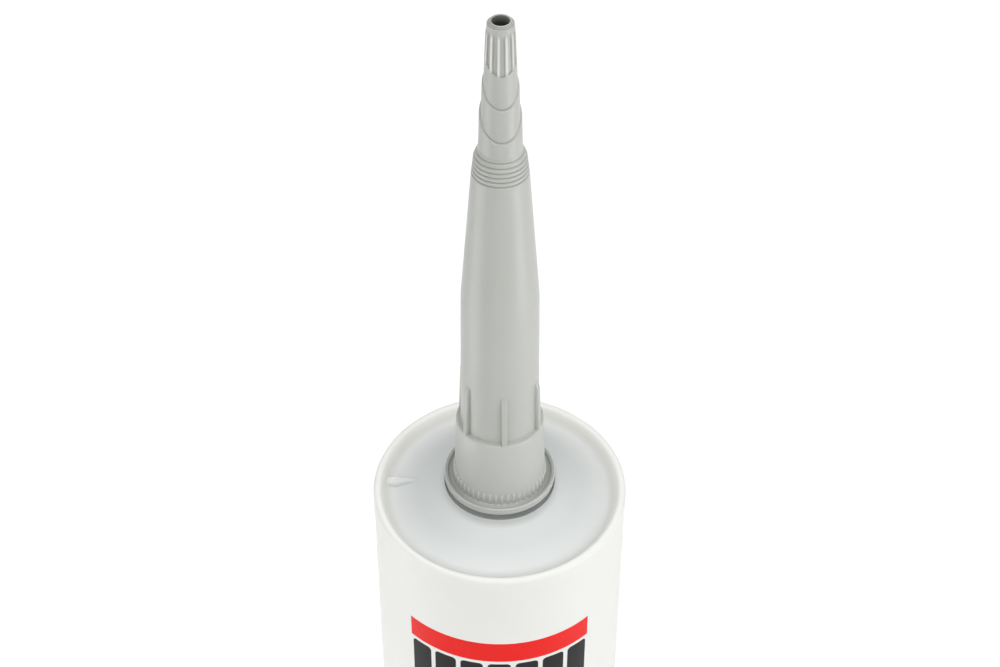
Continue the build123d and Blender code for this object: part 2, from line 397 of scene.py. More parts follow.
def finish_tree(wiring, shape, given):
    """Ends a tree: smooth faces with sharp edges where they turn far, real geometry and one material."""
    smooth = wiring.out("GeometryNodeSetShadeSmooth", {"Geometry": shape, "Shade Smooth": True})
    turn = wiring.add("GeometryNodeInputMeshEdgeAngle").outputs["Unsigned Angle"]
    edged = wiring.out(
        "GeometryNodeSetShadeSmooth",
        {
            "Geometry": smooth,
            "Selection": wiring.math("GREATER_THAN", turn, given["Sharp angle"]),
            "Shade Smooth": False,
        },
        domain="EDGE",
    )
    real = wiring.out("GeometryNodeRealizeInstances", {"Geometry": edged})
    painted = wiring.out("GeometryNodeSetMaterial", {"Geometry": real, "Material": given["Finish"]})
    wiring.add("NodeGroupOutput", {0: painted})


def turned_tree():
    """Turns an outline round the axis into a closed shell."""
    tree, wiring, given = new_geometry_tree("turned_shell", {"Segments": "Int"})
    size = wiring.add("GeometryNodeAttributeDomainSize", {"Geometry": given["Shape"]})
    count = size.outputs["Point Count"]
    columns = wiring.plus(given["Segments"], 1)
    grid = wiring.out("GeometryNodeMeshGrid", {"Vertices X": columns, "Vertices Y": count})
    index = wiring.out("GeometryNodeInputIndex")
    column = wiring.math("FLOOR", wiring.math("DIVIDE", index, count))
    row = wiring.minus(index, wiring.product(column, count))
    angle = wiring.product(wiring.math("DIVIDE", column, given["Segments"]), 2 * pi)
    sample = wiring.out(
        "GeometryNodeSampleIndex",
        {"Geometry": given["Shape"], "Value": wiring.out("GeometryNodeInputPosition"), "Index": row},
        data_type="FLOAT_VECTOR",
    )
    radius, _, height = wiring.xyz(sample)
    point = wiring.on_circle(radius, angle, height)
    placed = wiring.out("GeometryNodeSetPosition", {"Geometry": grid, "Position": point})
    merged = wiring.out("GeometryNodeMergeByDistance", {"Geometry": placed, "Distance": merge_distance})
    finish_tree(wiring, merged, given)
    return tree


def ring_tree():
    """Repeats a shape at equal turns round the axis."""
    tree, wiring, given = new_geometry_tree("ring_of_copies", {"Count": "Int", "First turn": "Float"})
    points = wiring.out("GeometryNodePoints", {"Count": given["Count"]})
    index = wiring.out("GeometryNodeInputIndex")
    step = wiring.math("DIVIDE", 2 * pi, given["Count"])
    turn = wiring.plus(wiring.product(index, step), given["First turn"])
    rotation = wiring.out("ShaderNodeCombineXYZ", {"Z": turn})
    copies = wiring.out(
        "GeometryNodeInstanceOnPoints",
        {"Points": points, "Instance": given["Shape"], "Rotation": rotation},
    )
    finish_tree(wiring, copies, given)
    return tree


def helix_tree():
    """Sweeps a closed profile along a right-handed helix and lets it fade out at both ends."""
    sizes = dict.fromkeys(("Turns", "Pitch", "Radius", "Start", "Fade", "End scale"), "Float")
    tree, wiring, given = new_geometry_tree("helical_ridge", {**sizes, "Steps": "Int"})
    line = wiring.out("GeometryNodeCurvePrimitiveLine")
    fine = wiring.out("GeometryNodeResampleCurve", {"Curve": line, "Count": given["Steps"]})
    share = wiring.add("GeometryNodeSplineParameter").outputs["Factor"]
    turned = wiring.product(share, given["Turns"])
    rise = wiring.plus(wiring.product(turned, given["Pitch"]), given["Start"])
    point = wiring.on_circle(given["Radius"], wiring.product(turned, 2 * pi), rise)
    # The share is read before the points move, so it stays the share of the helix
    path = wiring.out("GeometryNodeSetPosition", {"Geometry": fine, "Position": point})
    upright = wiring.out("GeometryNodeSetCurveNormal", {"Curve": path}, mode="Z_UP")
    nearest = wiring.math("MINIMUM", turned, wiring.minus(given["Turns"], turned))
    size = wiring.math("MINIMUM", wiring.math("DIVIDE", nearest, given["Fade"]), 1.0)
    outline = wiring.out("GeometryNodeMeshToCurve", {"Mesh": given["Shape"]})
    ridge = wiring.out(
        "GeometryNodeCurveToMesh",
        {
            "Curve": upright,
            "Profile Curve": outline,
            "Scale": wiring.math("MAXIMUM", size, given["End scale"]),
            "Fill Caps": True,
        },
    )
    finish_tree(wiring, ridge, given)
    return tree


def grow(name, mesh, tree, **inputs):
    """Runs a geometry tree on a mesh and returns the result as a plain mesh that faces outwards."""
    inputs["sharp_angle"] = sharp_angle
    source = bpy.data.objects.new(name, mesh)
    bpy.context.scene.collection.objects.link(source)
    modifier = source.modifiers.new(tree.name, "NODES")
    modifier.node_group = tree
    for item in tree.interface.items_tree:
        key = item.name.replace(" ", "_").lower()
        if item.in_out == "INPUT" and key in inputs:
            modifier[item.identifier] = inputs[key]
    evaluated = source.evaluated_get(bpy.context.evaluated_depsgraph_get())
    grown = bpy.data.meshes.new_from_object(evaluated)
    bpy.data.objects.remove(source)
    face_outwards(grown)
    return grown


def face_outwards(mesh):
    """Turns every face of a closed mesh to point out of it."""
    shell = bmesh.new()
    shell.from_mesh(mesh)
    bmesh.ops.recalc_face_normals(shell, faces=shell.faces)
    shell.to_mesh(mesh)
    shell.free()


def make_piece(name, mesh, body, replaces=()):
    """A finished piece that rides on a body, if one is given, and stands for the nodes it replaces."""
    piece = bpy.data.objects.new(name, mesh)
    bpy.context.scene.collection.objects.link(piece)
    if body:
        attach(piece, body)
    if replaces:
        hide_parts(*replaces)
    return piece


# Finishes


def new_finish(name):
    """An empty material, its wiring and its object coordinates."""
    material = bpy.data.materials.new(name)
    material.use_nodes = True
    material.node_tree.nodes.clear()
    wiring = Wiring(material.node_tree)
    place = wiring.add("ShaderNodeTexCoord").outputs["Object"]
    return material, wiring, place


def noise(wiring, place, size, detail=2.0, stretch=None):
    """Noise whose blotches are about one size across, drawn out by a stretch along each axis."""
    if stretch is not None:
        place = wiring.out("ShaderNodeMapping", {"Vector": place, "Scale": stretch})
    return wiring.out("ShaderNodeTexNoise", {"Vector": place, "Scale": 1 / size, "Detail": detail})


def spread(wiring, value, low, high, new_low=0.0, new_high=1.0):
    """Maps a value from one range to another, held at its ends."""
    return wiring.out(
        "ShaderNodeMapRange",
        {"Value": value, "From Min": low, "From Max": high, "To Min": new_low, "To Max": new_high},
    )


def clouds(wiring, place, size):
    """Large soft clouds between 0 and 1."""
    return spread(wiring, noise(wiring, place, size, detail=3.0), 0.35, 0.65)


def blend_colours(wiring, share, first, second):
    """The first colour where the share is 0, the second where it is 1."""
    node = wiring.add("ShaderNodeMix", {0: share, 6: first, 7: second}, data_type="RGBA")
    return node.outputs[2]


def bumps(wiring, layers):
    """One normal from several (height, depth) layers of bump."""
    normal = None
    for height, depth in layers:
        inputs = {"Height": height, "Distance": depth, "Strength": 1.0}
        if normal is not None:
            inputs["Normal"] = normal
        normal = wiring.out("ShaderNodeBump", inputs)
    return normal


def moulded(wiring, place, light, dark, rough, grain_size, grain_depth):
    """Colour, roughness and bump layers that every moulded plastic here shares."""
    colour = blend_colours(wiring, clouds(wiring, place, moulding_cloud_size), light, dark)
    grain = noise(wiring, place, grain_size, detail=2.0)
    drawn = noise(wiring, place, flow_line_size, detail=1.0, stretch=(1, 1, flow_line_stretch))
    swell = noise(wiring, place, swell_size, detail=1.0)
    patch = noise(wiring, place, gloss_patch_size, detail=4.0)
    roughness = spread(wiring, patch, 0.3, 0.7, rough - gloss_patch_fall, rough + gloss_patch_rise)
    layers = [(swell, swell_depth), (drawn, flow_line_depth), (grain, grain_depth)]
    return colour, roughness, layers


def close_finish(wiring, colour, roughness, layers, **constants):
    """Joins a principled shader to the material's output."""
    inputs = {"Base Color": colour, "Roughness": roughness, "Normal": bumps(wiring, layers)}
    inputs.update({key.replace("_", " "): value for key, value in constants.items()})
    wiring.add("ShaderNodeOutputMaterial", {"Surface": wiring.out("ShaderNodeBsdfPrincipled", inputs)})


def distance_from_axis(wiring, place):
    """Distance of a place from the upright axis."""
    x, y, _ = wiring.xyz(place)
    return wiring.hypotenuse(x, y)


def angle_from_front(wiring, x, y):
    """Angle about the upright axis, 0 at the front and positive to the right."""
    return wiring.math("ARCTAN2", x, wiring.product(y, -1.0))


def rounded_box(wiring, across, up, half_across, half_up, rounding):
    """1 inside a rounded box about zero, 0 outside it, with an edge as wide as the ink's."""
    out_x = wiring.minus(wiring.math("ABSOLUTE", across), half_across - rounding)
    out_y = wiring.minus(wiring.math("ABSOLUTE", up), half_up - rounding)
    outer = wiring.hypotenuse(wiring.math("MAXIMUM", out_x, 0.0), wiring.math("MAXIMUM", out_y, 0.0))
    inner = wiring.math("MINIMUM", wiring.math("MAXIMUM", out_x, out_y), 0.0)
    distance = wiring.plus(outer, inner)
    return spread(wiring, distance, rounding - ink_edge / 2, rounding + ink_edge / 2, 1.0, 0.0)


def barrel_print(wiring, place):
    """Shares of red and black ink over the barrel: a band, and a row of blocks under it."""
    x, y, z = wiring.xyz(place)
    radius = distance_from_axis(wiring, place)
    outside = wiring.math("GREATER_THAN", radius, (barrel_radius + bore_radius) / 2)
    fibre = noise(wiring, place, ink_fibre_size, detail=2.0)
    ragged = spread(wiring, fibre, 0.0, 1.0, -ink_edge / 2, ink_edge / 2)
    height = wiring.plus(z, ragged)
    along = wiring.plus(wiring.product(angle_from_front(wiring, x, y), barrel_radius), ragged)
    half_width = print_half_angle * barrel_radius

    from_band = wiring.minus(height, (band_foot_height + band_top_height) / 2)
    band_half = (band_top_height - band_foot_height) / 2
    red = rounded_box(wiring, along, from_band, half_width, band_half, band_rounding)

    pitch = 2 * half_width / block_count
    steps = wiring.math("DIVIDE", wiring.plus(along, half_width), pitch)
    within = wiring.product(wiring.minus(wiring.math("FRACT", steps), 0.5), pitch)
    from_blocks = wiring.minus(height, (block_foot_height + block_top_height) / 2)
    block_half_width = pitch * (1 - block_gap_share) / 2
    block_half_height = (block_top_height - block_foot_height) / 2
    black = rounded_box(wiring, within, from_blocks, block_half_width, block_half_height, block_rounding)
    in_arc = wiring.math("LESS_THAN", wiring.math("ABSOLUTE", along), half_width)
    return wiring.product(red, outside), wiring.product(black, outside, in_arc)


def barrel_colour(wiring, place, front_wall_colour):
    """The colour of the barrel's plastic, worked out from that of its coned front wall, with painted shadow,
    painted shade and a painted highlight laid on it.
    """
    _, y, z = wiring.xyz(place)
    radius = distance_from_axis(wiring, place)

    # Painted shadow round the recess, under the flange's edge, stronger in front
    shifted = wiring.out("ShaderNodeMapping", {"Vector": place, "Location": recess_shadow_shift})
    off_centre = distance_from_axis(wiring, shifted)
    shadow_ring = spread(wiring, off_centre, recess_radius, recess_radius + recess_shadow_width, 0.6, 0.0)
    in_front = spread(wiring, y, -recess_radius, 0.0, 1.0, 0.25)
    past_edge = spread(wiring, radius, recess_radius - 0.1 * mm, recess_radius + 0.1 * mm)
    painted_recess_shadow = wiring.product(shadow_ring, in_front, past_edge)
    colour = blend_colours(wiring, painted_recess_shadow, front_wall_colour, (0.35, 0.35, 0.33, 1))

    # The rim's crest and the fin are the lightest: a warmer white, with a painted highlight where they catch
    # the light, growing in towards the rim
    cone = wiring.product(wiring.minus(rim_foot_radius, radius), cone_rise)
    above_cone = wiring.minus(z, wiring.plus(cone, rim_foot_height))
    from_fin = wiring.math("GREATER_THAN", radius, fin_inner_radius - fin_rounding)
    raised_highlight = wiring.product(spread(wiring, above_cone, 0.1 * mm, 1.8 * mm), from_fin)
    near_rim_highlight = spread(wiring, radius, rim_foot_radius - rim_highlight_width, rim_foot_radius, 0.0, 0.4)
    on_rim_highlight = wiring.math("MAXIMUM", near_rim_highlight, raised_highlight)
    streaks = clouds(wiring, place, streak_size)
    rim_highlight_colour = blend_colours(wiring, streaks, (0.825, 0.825, 0.795, 1), (0.81, 0.81, 0.782, 1))
    colour = blend_colours(wiring, on_rim_highlight, colour, rim_highlight_colour)

    # The slope inside the crest is painted darker, as painted shade
    past_foot = spread(wiring, radius, rim_foot_radius - 0.2 * mm, rim_foot_radius + 0.5 * mm, 0.0, 0.55)
    under_crest = spread(wiring, radius, rim_crest_radius - 1.0 * mm, rim_crest_radius - 0.1 * mm, 1.0, 0.0)
    painted_slope_shade = wiring.product(past_foot, under_crest)
    colour = blend_colours(wiring, painted_slope_shade, colour, (0.66, 0.655, 0.62, 1))

    # The tube's wall is a warmer white
    on_wall = spread(wiring, radius, barrel_radius - 0.6 * mm, barrel_radius - 0.1 * mm)
    wall_colour = blend_colours(wiring, streaks, (0.697, 0.702, 0.672, 1), (0.683, 0.688, 0.658, 1))
    return blend_colours(wiring, on_wall, colour, wall_colour)


def barrel_finish():
    """Ivory white moulded barrel with a printed front."""
    material, wiring, place = new_finish("ivory_barrel")
    front_wall_colour, roughness, layers = moulded(
        wiring, place, (0.60, 0.625, 0.62, 1), (0.575, 0.60, 0.595, 1),
        rough=0.38, grain_size=0.7 * mm, grain_depth=0.006 * mm,
    )
    colour = barrel_colour(wiring, place, front_wall_colour)
    red, black = barrel_print(wiring, place)
    mottle = noise(wiring, place, ink_mottle_size, detail=3.0)
    red_ink = blend_colours(wiring, mottle, (0.68, 0.008, 0.006, 1), (0.74, 0.014, 0.010, 1))
    black_ink = blend_colours(wiring, mottle, (0.010, 0.010, 0.011, 1), (0.018, 0.017, 0.019, 1))
    colour = blend_colours(wiring, red, colour, red_ink)
    colour = blend_colours(wiring, black, colour, black_ink)
    ink = wiring.math("MAXIMUM", red, black)
    roughness = wiring.minus(roughness, wiring.product(ink, ink_smoothing))
    layers.append((ink, ink_thickness))
    close_finish(
        wiring, colour, roughness, layers,
        Specular_IOR_Level=spread(wiring, ink, 0.0, 1.0, 0.5, 0.1),
        Subsurface_Weight=spread(wiring, ink, 0.0, 1.0, 0.3, 0.0),
        Subsurface_Radius=(0.002, 0.0018, 0.0017), Subsurface_Scale=1.0,
    )
    return material


def painted_land_highlights(wiring, x, y, z):
    """Share of painted highlight along the middles of the lands between the flutes."""
    turn = wiring.minus(angle_from_front(wiring, x, y), flute_turn)
    steps = wiring.math("FRACT", wiring.product(turn, flute_count / (2 * pi)))
    from_land = wiring.math("ABSOLUTE", wiring.minus(steps, 0.5))
    land = spread(wiring, from_land, 0.06, 0.2, 1.0, 0.0)
    slant = wiring.product(wiring.plus(y, tip_foot_radius), tan(guide_lean))
    along = wiring.minus(z, wiring.plus(slant, nozzle_base + guide_heights[2]))
    started = spread(wiring, along, 0.4 * mm, 1.0 * mm)
    flute_end = nozzle_base + flute_top_height
    ended = spread(wiring, z, flute_end - 0.8 * mm, flute_end, 1.0, 0.0)
    return wiring.product(land, started, ended)


def painted_channel_shade(wiring, sideways, radius, z):
    """Share of painted shade in the channel inside the flange's lip, most at its sides."""
    past_foot = spread(wiring, radius, skirt_foot_radius - 0.1 * mm, skirt_foot_radius + 0.15 * mm)
    inside_lip = spread(wiring, radius, channel_shade_edge_radius, channel_shade_edge_radius + 0.3 * mm, 1.0, 0.0)
    low = spread(wiring, z, nozzle_base + flange_dish_height, nozzle_base + flange_height, 1.0, 0.0)
    side_shade = spread(wiring, wiring.math("ABSOLUTE", sideways), 0.35, 0.9, 0.0, 0.45)
    return wiring.product(past_foot, inside_lip, low, side_shade)


def nozzle_finish():
    """Light grey moulded nozzle with faint marks of flow along its length, painted light on its right side
    and skirt, painted highlights on its lands, and painted shade dark in the mouth of the tip and in the
    flange's channel.
    """
    material, wiring, place = new_finish("grey_nozzle")
    colour, roughness, layers = moulded(
        wiring, place, (0.395, 0.405, 0.378, 1), (0.37, 0.38, 0.353, 1),
        rough=0.33, grain_size=0.45 * mm, grain_depth=0.005 * mm,
    )
    x, y, z = wiring.xyz(place)
    radius = distance_from_axis(wiring, place)
    sideways = wiring.math("DIVIDE", x, radius)

    # The right side is painted lighter, as painted light from that side, and the thick skirt is painted a
    # little lighter than the tube, as painted light
    painted_side_light = wiring.product(spread(wiring, sideways, -0.5, 0.8), 0.3)
    skirt_top = nozzle_base + skirt_height
    painted_skirt_light = wiring.product(spread(wiring, z, skirt_top, skirt_top + 0.3 * mm, 1.0, 0.0), 0.35)
    # Painted shade in the mouth of the tip's bore, darker deeper in
    in_shaded_bore = wiring.math("LESS_THAN", radius, tip_bore_radius + 0.03 * mm)
    depth = spread(wiring, z, nozzle_top - 1.6 * mm, nozzle_top - 0.1 * mm, 0.9, 0.35)
    for share, tint in (
        (painted_side_light, (0.56, 0.57, 0.545, 1)),
        (painted_skirt_light, (0.50, 0.51, 0.485, 1)),
        (painted_land_highlights(wiring, x, y, z), (0.62, 0.63, 0.60, 1)),
        (wiring.product(in_shaded_bore, depth), (0.02, 0.02, 0.02, 1)),
        (painted_channel_shade(wiring, sideways, radius, z), (0.17, 0.175, 0.165, 1)),
    ):
        colour = blend_colours(wiring, share, colour, tint)
    close_finish(
        wiring, colour, roughness, layers,
        Specular_IOR_Level=0.6,
        Subsurface_Weight=0.2, Subsurface_Radius=(0.0014, 0.0014, 0.0013), Subsurface_Scale=1.0,
    )
    return material


def plunger_finish():
    """Waxy natural white plunger."""
    material, wiring, place = new_finish("waxy_plunger")
    colour, roughness, layers = moulded(
        wiring, place, (0.74, 0.76, 0.76, 1), (0.68, 0.70, 0.70, 1),
        rough=0.48, grain_size=0.6 * mm, grain_depth=0.008 * mm,
    )
    close_finish(
        wiring, colour, roughness, layers,
        Subsurface_Weight=0.25, Subsurface_Radius=(0.002, 0.002, 0.002), Subsurface_Scale=1.0,
    )
    return material


def sealant_finish():
    """Smooth light grey paste with soft folds where it was filled."""
    material, wiring, place = new_finish("grey_sealant")
    folds = noise(wiring, place, 4 * mm, detail=3.0)
    tint = blend_colours(wiring, folds, (0.47, 0.48, 0.46, 1), (0.42, 0.43, 0.41, 1))
    roughness = spread(wiring, noise(wiring, place, 2 * mm, detail=2.0), 0.3, 0.7, 0.22, 0.34)
    layers = [(folds, 0.35 * mm), (noise(wiring, place, 0.8 * mm, detail=2.0), 0.02 * mm)]
    close_finish(wiring, tint, roughness, layers, Subsurface_Weight=0.2, Subsurface_Scale=0.001)
    return material


def floor_finish():
    """Plain pale floor."""
    material, wiring, place = new_finish("pale_floor")
    cloud = noise(wiring, place, 0.6, detail=2.0)
    colour = blend_colours(wiring, cloud, (0.94, 0.94, 0.94, 1), (0.96, 0.96, 0.96, 1))
    layers = [(noise(wiring, place, 1.5 * mm, detail=2.0), 0.004 * mm)]
    close_finish(wiring, colour, 0.6, layers)
    return material


# Pieces


def turned_shell(name, corners, turned, segments, finish):
    """A closed shell turned round the axis from the corners of its outline."""
    outline = outline_mesh(f"{name}_outline", rounded(corners))
    return grow(name, outline, turned, segments=segments, finish=finish)


def make_barrel(turned, finish):
    """The barrel: wall, rim, coned front wall and neck, turned from one outline."""
    mesh = turned_shell("barrel_shell", [
        (bore_radius, barrel_foot + rear_lead_in, 0),
        (bore_radius + rear_lead_in, barrel_foot, 0),
        (barrel_radius, barrel_foot, rear_edge_rounding),
        (barrel_radius, rim_band_foot - rim_band_blend, 2 * rim_band_blend),
        (rim_band_radius, rim_band_foot, 2 * rim_band_blend),
        (rim_band_radius, barrel_top, rim_crest_rounding),
        (rim_crest_radius, barrel_top, rim_crest_rounding),
        (rim_foot_radius, rim_foot_height, rim_foot_rounding),
        (recess_radius, recess_edge_height, recess_edge_rounding),
        (recess_radius, recess_floor_height, recess_floor_rounding),
        (neck_radius, recess_floor_height, neck_root_rounding),
        (neck_radius, neck_top, neck_mouth_rounding),
        (neck_bore_radius, neck_top, neck_mouth_rounding / 2),
        (neck_bore_radius, inner_crown_height, neck_mouth_rounding),
        (inner_crown_radius, inner_crown_height, inner_crown_rounding),
        (bore_radius, bore_end_height, bore_corner_rounding),
        (bore_radius, barrel_foot + rear_lead_in, 0),
    ], turned, barrel_segments, finish)
    make_piece("barrel_shell", mesh, "cartridge", ["barrel"])


def make_fin(finish):
    """The fin in the corner between the rim and the front wall, a wedge with soft edges."""
    fin_foot_height = rim_foot_height + (rim_foot_radius - fin_inner_radius) * cone_rise
    outline = [
        (fin_inner_radius, fin_foot_height, fin_tip_width),
        (fin_peak_radius, rim_foot_height + fin_height, fin_width),
        (rim_crest_radius, rim_foot_height + fin_height, fin_foot_width),
        (rim_crest_radius, rim_foot_height - fin_sink, fin_foot_width),
        (rim_foot_radius, rim_foot_height - fin_sink, fin_foot_width),
        (fin_inner_radius, fin_foot_height - fin_sink, fin_tip_width),
    ]
    mesh = wedge_mesh("locating_fin", outline, fin_rounding, fin_angle)
    mesh.materials.append(finish)
    make_piece("locating_fin", mesh, "cartridge")


def wedge_mesh(name, outline, rounding, turn=0.0):
    """An outline of (radius, height, width across), its edges rounded, turned about the axis."""
    solid = bmesh.new()
    sides = [
        [solid.verts.new((radius, side * width / 2, height)) for radius, height, width in outline]
        for side in (-1, 1)
    ]
    solid.faces.new(sides[0])
    solid.faces.new(reversed(sides[1]))
    for i in range(len(outline)):
        j = (i + 1) % len(outline)
        solid.faces.new((sides[0][j], sides[0][i], sides[1][i], sides[1][j]))
    bmesh.ops.bevel(
        solid, geom=list(solid.edges), offset=rounding, segments=wedge_bevel_steps, profile=0.5,
        affect="EDGES", clamp_overlap=True,
    )
    bmesh.ops.rotate(solid, verts=solid.verts, matrix=Matrix.Rotation(turn, 3, "Z"))
    mesh = bpy.data.meshes.new(name)
    finish_shell(solid, mesh)
    return mesh


def finish_shell(shell, mesh):
    """Writes a closed shell to its mesh, facing outwards, smooth but for its sharp edges."""
    bmesh.ops.recalc_face_normals(shell, faces=shell.faces)
    for face in shell.faces:
        face.smooth = True
    shell.to_mesh(mesh)
    shell.free()
    mesh.set_sharp_from_angle(angle=sharp_angle)


def make_thread(helix, finish):
    """The single-start thread on the neck."""
    half_base, half_crest = thread_base_width / 2, thread_crest_width / 2
    depth = thread_radius - neck_radius
    profile = [
        (-thread_sink, -half_base),
        (0, -half_base),
        (depth, -half_crest),
        (depth, half_crest),
        (0, half_base),
        (-thread_sink, half_base),
    ]
    count = len(profile)
    mesh = bpy.data.meshes.new("thread_profile")
    mesh.from_pydata([(x, y, 0) for x, y in profile], [(i, (i + 1) % count) for i in range(count)], [])
    ridge = grow(
        "neck_thread", mesh, helix,
        turns=thread_turns, pitch=thread_pitch, radius=neck_radius,
        start=recess_floor_height + thread_start, steps=thread_steps,
        fade=thread_fade_turns, end_scale=thread_end_scale, finish=finish,
    )
    make_piece("neck_thread", ridge, "cartridge")


def straight_between(height, low, low_radius, high, high_radius):
    """The radius at a height on the straight line between two heights."""
    return low_radius + (high_radius - low_radius) * (height - low) / (high - low)


def collar_surface(height):
    """The radius of the collar, and of the shoulder above it, between the grooves."""
    crest = (collar_height, collar_radius)
    if height <= collar_height:
        return straight_between(height, collar_foot_height, collar_foot_radius, *crest)
    return straight_between(height, *crest, shoulder_top, lower_sleeve_radius)


def grooved_collar():
    """The outline from the first groove to the last, over the collar and the shoulder."""
    points = [(collar_foot_radius, collar_foot_height)]
    for groove in range(groove_count):
        middle = lowest_groove_height + groove * groove_pitch
        for share, depth_share in groove_section:
            height = middle + share * groove_width
            points.append((collar_surface(height) - depth_share * groove_depth, height))
    return points


def sleeve_on_guide(turn, foot_radius, taper, guide_height):
    """The radius and height at which a tapered sleeve meets a slanted guide's plane, at each turn."""
    slope = tan(guide_lean)
    lean = np.cos(turn)
    rise = guide_height + slope * foot_radius - slope * lean * (foot_radius + taper * shoulder_top)
    height = rise / (1 - slope * taper * lean)
    return foot_radius - taper * (height - shoulder_top), height


def foot_outline():
    """The outline over the flange, skirt, tube, collar and shoulder."""
    last_groove_end = shoulder_top - groove_width / 2
    over_tube = rounded([
        (socket_radius + socket_lead_in, 0, 0),
        (flange_radius, 0, flange_foot_rounding),
        (flange_radius, flange_height, flange_rounding),
        (flange_radius - flange_lip, flange_height, flange_rounding),
        (flange_channel_radius, flange_dish_height, flange_rounding),
        (skirt_foot_radius, flange_dish_height, dish_rounding),
        (skirt_top_radius, skirt_height, skirt_rounding),
        (tube_foot_radius, skirt_height, tube_root_rounding),
        (tube_kink_radius, tube_kink_height, tube_kink_rounding),
        (collar_foot_radius, collar_foot_height, 0),
    ])
    over_shoulder = rounded([
        (collar_surface(last_groove_end), last_groove_end, 0),
        (lower_sleeve_radius, shoulder_top, groove_width / 2),
        (lower_sleeve_radius - lower_sleeve_taper * groove_width, shoulder_top + groove_width, 0),
    ])
    return over_tube[:-1] + grooved_collar() + over_shoulder


def guide_rows(turn, sleeve, next_sleeve):
    """Rows over a guide: the sleeve's soft lip, and the fine cut behind it at the next taper's foot."""
    radius, taper, guide = sleeve
    next_radius, next_taper, _ = next_sleeve
    edge_radius, edge_height = sleeve_on_guide(turn, radius, taper, guide)
    cut_middle = edge_height + guide_cut_width / 2
    cut_end = edge_height + guide_cut_width

    def next_surface(height):
        return next_radius - next_taper * (height - shoulder_top)

    return [
        (edge_radius + taper * guide_run_up, edge_height - guide_run_up),
        (edge_radius, edge_height - guide_lip),
        (edge_radius - guide_lip, edge_height),
        (next_surface(edge_height), edge_height + guide_lip / 2),
        (next_surface(cut_middle) - guide_cut_depth, cut_middle),
        (next_surface(cut_end), cut_end),
        (next_surface(cut_end + guide_run_up), cut_end + guide_run_up),
    ]


def tip_surface(height):
    """The radius of the uppermost taper at a height, over the lands between its flutes."""
    heights = (shoulder_top, tip_end_height, tip_edge_height)
    return np.interp(height, heights, (tip_foot_radius, tip_end_radius, tip_edge_radius))


def flute_rows(turn, tip_taper):
    """Rows over the flutes, cut between the uppermost guide's plane and a level near the tip."""
    start = sleeve_on_guide(turn, tip_foot_radius, tip_taper, guide_heights[2])[1] + flute_foot_gap
    start = np.minimum(start, flute_top_height - 2 * flute_end_step)
    pitch = 2 * pi / flute_count
    from_first = turn + nozzle_turn - flute_turn
    from_flute = np.abs((from_first + pitch / 2) % pitch - pitch / 2)
    cut = np.clip((flute_half_angle + flute_wall_angle - from_flute) / flute_wall_angle, 0, 1) * flute_depth
    reach = flute_top_height - flute_end_step - start
    cut = np.where(reach > 4 * flute_end_step, cut, 0)
    rows = [(tip_surface(height), height) for height in (start - flute_end_step, start)]
    for share, depth_share in flute_section:
        height = start + flute_end_step * (1 - share) + share * reach
        rows.append((tip_surface(height) - depth_share * cut, height))
    return rows


def tip_outline():
    """The outline from the flutes' upper end over the tip's mouth and down the inside."""
    neck_seat = neck_top - nozzle_base
    bevel_height = nozzle_length - tip_bevel_drop
    tip_rings = []
    for share in tip_ring_shares:
        middle_radius = tip_edge_radius + share * (tip_bevel_radius - tip_edge_radius)
        middle_height = tip_edge_height + share * (bevel_height - tip_edge_height)
        for offset, depth in ((-tip_ring_depth, 0), (0, tip_ring_depth), (tip_ring_depth, 0)):
            tip_rings.append((middle_radius - offset - depth, middle_height + offset - depth, 0))
    return [(tip_surface(flute_top_height), flute_top_height)] + rounded([
        (tip_surface(flute_top_height + flute_end_step), flute_top_height + flute_end_step, 0),
        (tip_edge_radius, tip_edge_height, tip_edge_rounding),
        *tip_rings,
        (tip_bevel_radius, bevel_height, tip_edge_rounding / 2),
        (tip_bore_radius + tip_bore_chamfer, nozzle_length, tip_bore_chamfer / 2),
        (tip_bore_radius, nozzle_length - tip_bore_chamfer, tip_bore_chamfer),
        (tip_bore_radius, nozzle_length - tip_bore_length, channel_rounding),
        (channel_collar_radius, collar_height, channel_rounding),
        (channel_radius, tube_kink_height, tube_kink_rounding),
        (channel_radius, neck_seat, 0),
        (socket_radius, neck_seat, socket_lead_in),
        (socket_radius, socket_lead_in, 0),
        (socket_radius + socket_lead_in, 0, 0),
    ])


def nozzle_rows(turn):
    """Rows of the nozzle's closed surface: up the outside, over the tip and down the inside."""
    tip_taper = (tip_foot_radius - tip_end_radius) / (tip_end_height - shoulder_top)
    sleeves = [
        (lower_sleeve_radius, lower_sleeve_taper, guide_heights[0]),
        (middle_sleeve_radius, middle_sleeve_taper, guide_heights[1]),
        (tip_foot_radius, tip_taper, guide_heights[2]),
    ]
    rows = foot_outline()
    for sleeve, next_sleeve in zip(sleeves, sleeves[1:]):
        rows += guide_rows(turn, sleeve, next_sleeve)
    return rows + flute_rows(turn, tip_taper) + tip_outline()


def make_nozzle(finish):
    """The nozzle's body, as rows of points round the axis that lean where the guides are slanted."""
    turn = np.arange(nozzle_columns) * 2 * pi / nozzle_columns
    angle = turn + nozzle_front
    flat = np.ones_like(turn)
    rows = nozzle_rows(turn)[:-1]
    points = []
    for radius, height in rows:
        points.extend(zip(radius * np.cos(angle), radius * np.sin(angle), height * flat + nozzle_base))
    faces = []
    for row in range(len(rows)):
        low, high = row * nozzle_columns, (row + 1) % len(rows) * nozzle_columns
        for column in range(nozzle_columns):
            beside = (column + 1) % nozzle_columns
            faces.append((low + column, low + beside, high + beside, high + column))
    mesh = bpy.data.meshes.new("nozzle_body")
    mesh.from_pydata(points, [], faces)
    shell = bmesh.new()
    shell.from_mesh(mesh)
    bmesh.ops.remove_doubles(shell, verts=shell.verts, dist=merge_distance)
    finish_shell(shell, mesh)
    mesh.materials.append(finish)
    make_piece("nozzle_body", mesh, "nozzle", ["nozzle"])


